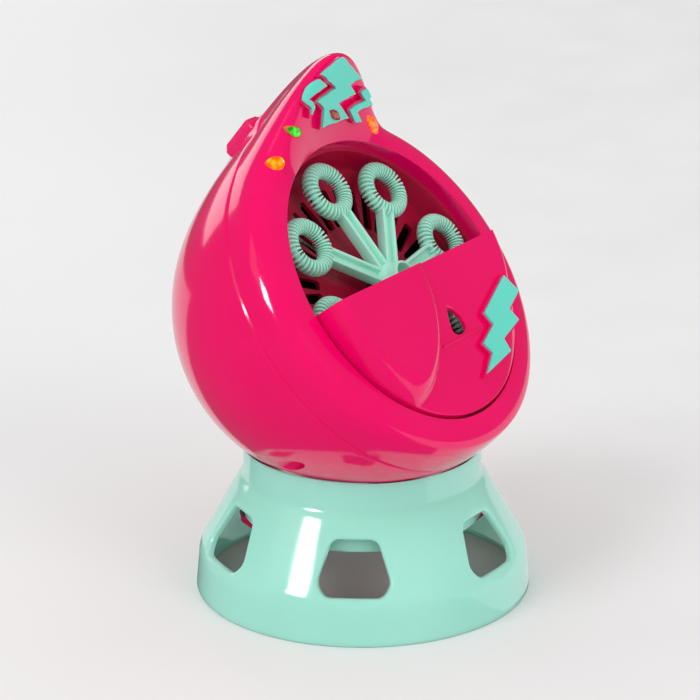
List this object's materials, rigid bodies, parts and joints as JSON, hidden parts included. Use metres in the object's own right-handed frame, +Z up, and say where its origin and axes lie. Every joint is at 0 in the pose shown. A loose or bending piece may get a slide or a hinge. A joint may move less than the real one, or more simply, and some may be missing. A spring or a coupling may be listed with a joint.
{
  "type": "bubble machine",
  "caption": "Tabletop bubble machine: a tilted globe on a round windowed stand, with a wand wheel turning between a slotted air wall and a half-round liquid tank.",
  "frame": {"origin": "on the table, under the middle of the whole machine's outline; the stand's axis is 4.36 mm in front of it", "axes": "+Z up, front (the open face with the wand wheel) towards -Y, +X to the right seen from behind the open face looking along +Y"},
  "size_m": [0.155, 0.1488, 0.2253],
  "materials": {
    "pink_shell": "glossy moulded pink",
    "pink_button": "softer pink, lightly satin",
    "wand_chamber_pink": "darker pink inner wall",
    "mint_stand": "slightly translucent mint",
    "mint_wheel": "satin mint",
    "teal_emblem": "satin teal",
    "green_gem": "clear tinted green, lit from behind",
    "amber_gem": "clear tinted amber, lit from behind",
    "orange_gem": "clear tinted orange, lit from behind",
    "red_gem": "clear tinted red",
    "lamp": "clear lens",
    "steel": "plain",
    "brass": "plain",
    "white_gear": "natural white",
    "black_plastic": "matte black",
    "circuit_board": "green lacquer",
    "rubber": "matte"
  },
  "bodies": {
    "housing": {"base_stand": "mint_stand", "back_shell": "pink_shell", "front_shell": "pink_shell", "shell_screw_1": "steel", "shell_screw_2": "steel", "shell_screw_3": "steel", "shell_screw_4": "steel", "hood_bolt": "teal_emblem", "hood_spark_left": "teal_emblem", "hood_spark_right": "teal_emblem", "gem_green": "green_gem", "gem_amber": "amber_gem", "gem_orange": "orange_gem", "gem_red": "red_gem", "led_green": "lamp", "led_amber": "lamp", "led_orange": "lamp", "led_red": "lamp", "wand_chamber": "wand_chamber_pink", "tank_cover": "pink_shell", "cover_bolt": "teal_emblem", "shaft_seal": "rubber", "first_gear_pin": "steel", "second_gear_pin": "steel", "gear_plate": "black_plastic", "wheel_motor": "steel", "air_chest": "black_plastic", "fan_duct": "black_plastic", "fan_motor": "steel", "battery_box": "black_plastic", "battery_cell_1": "steel", "battery_cell_2": "steel", "battery_cell_3": "steel", "battery_contact_front": "brass", "battery_contact_rear": "brass", "power_switch": "black_plastic", "control_board": "circuit_board", "led_board": "circuit_board", "battery_wire": "rubber", "switch_wire": "rubber"},
    "wheel": {"wand_wheel": "mint_wheel", "wheel_shaft": "steel", "output_gear": "white_gear"},
    "gear_one": {"first_gear": "white_gear"},
    "gear_two": {"second_gear": "white_gear"},
    "pinion": {"motor_pinion": "brass"},
    "fan": {"fan_impeller": "white_gear"},
    "button": {"power_button": "pink_button"},
    "battery_cover": {"battery_door": "pink_shell", "door_screw": "steel"}
  },
  "joints": [
    {"name": "wheel_spin", "type": "hinge", "parent": "housing", "child": "wheel", "pos_m": [0, -0.00981, 0.12748], "axis": [0, -0.8039, 0.5948], "continuous": true},
    {"name": "gear_one_spin", "type": "hinge", "parent": "housing", "child": "gear_one", "pos_m": [0.02003, -0.00221, 0.10748], "axis": [0, -0.8039, 0.5948], "continuous": true},
    {"name": "gear_two_spin", "type": "hinge", "parent": "housing", "child": "gear_two", "pos_m": [-0.0005, -0.00227, 0.10068], "axis": [0, -0.8039, 0.5948], "continuous": true},
    {"name": "pinion_spin", "type": "hinge", "parent": "housing", "child": "pinion", "pos_m": [-0.02042, 0.00118, 0.1003], "axis": [0, -0.8039, 0.5948], "continuous": true},
    {"name": "fan_spin", "type": "hinge", "parent": "housing", "child": "fan", "pos_m": [0, 0.02926, 0.14666], "axis": [0, -0.8039, 0.5948], "continuous": true},
    {"name": "button_press", "type": "slide", "parent": "housing", "child": "button", "axis": [0, -0.7716, -0.6361], "range_m": [0, 0.002]},
    {"name": "battery_cover_hinge", "type": "hinge", "parent": "housing", "child": "battery_cover", "pos_m": [0, 0.02814, 0.0476], "axis": [1, 0, 0], "range_deg": [0, 45]}
  ],
  "couplings": [
    {"joint": "gear_one_spin", "follows": "wheel_spin", "ratio": -2.7},
    {"joint": "gear_two_spin", "follows": "wheel_spin", "ratio": 6.48},
    {"joint": "pinion_spin", "follows": "wheel_spin", "ratio": -19.44}
  ]
}
